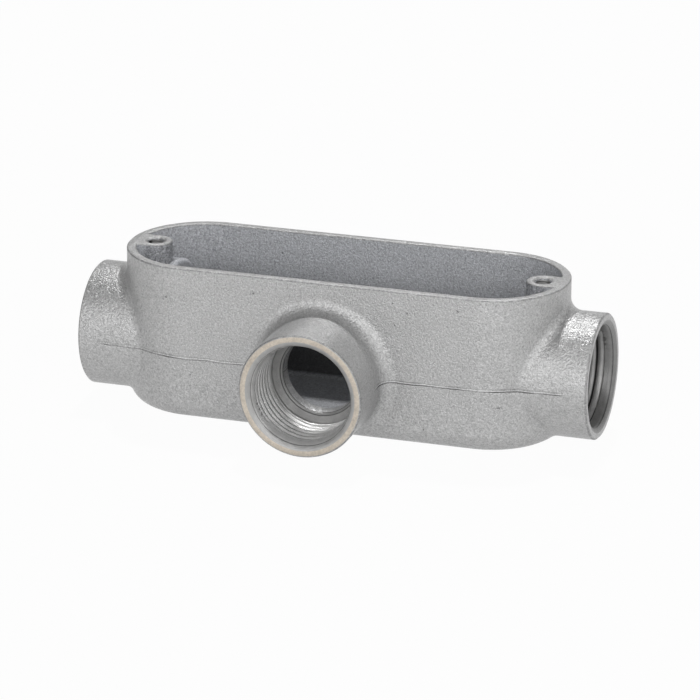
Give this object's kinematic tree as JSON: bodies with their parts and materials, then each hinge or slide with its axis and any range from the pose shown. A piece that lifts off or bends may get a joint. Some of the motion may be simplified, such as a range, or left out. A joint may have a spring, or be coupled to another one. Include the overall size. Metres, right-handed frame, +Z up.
{
  "type": "conduit body",
  "caption": "Cast tee conduit body: obround wiring box with an open cover rim, tapped screw bosses, and threaded hubs at its ends and side that open through rounded throats.",
  "frame": {"origin": "middle of the flat underside, under the middle of the cover opening", "axes": "+X along the run from hub to hub, -Y out through the branch hub, +Z up out of the cover opening"},
  "size_m": [0.1262, 0.0537, 0.0384],
  "materials": {
    "cast_metal": "sand-cast, silver-grey aluminium lacquer; hub bores and screw holes cut bright"
  },
  "bodies": {
    "root": {"conduit_body": "cast_metal"}
  },
  "joints": []
}
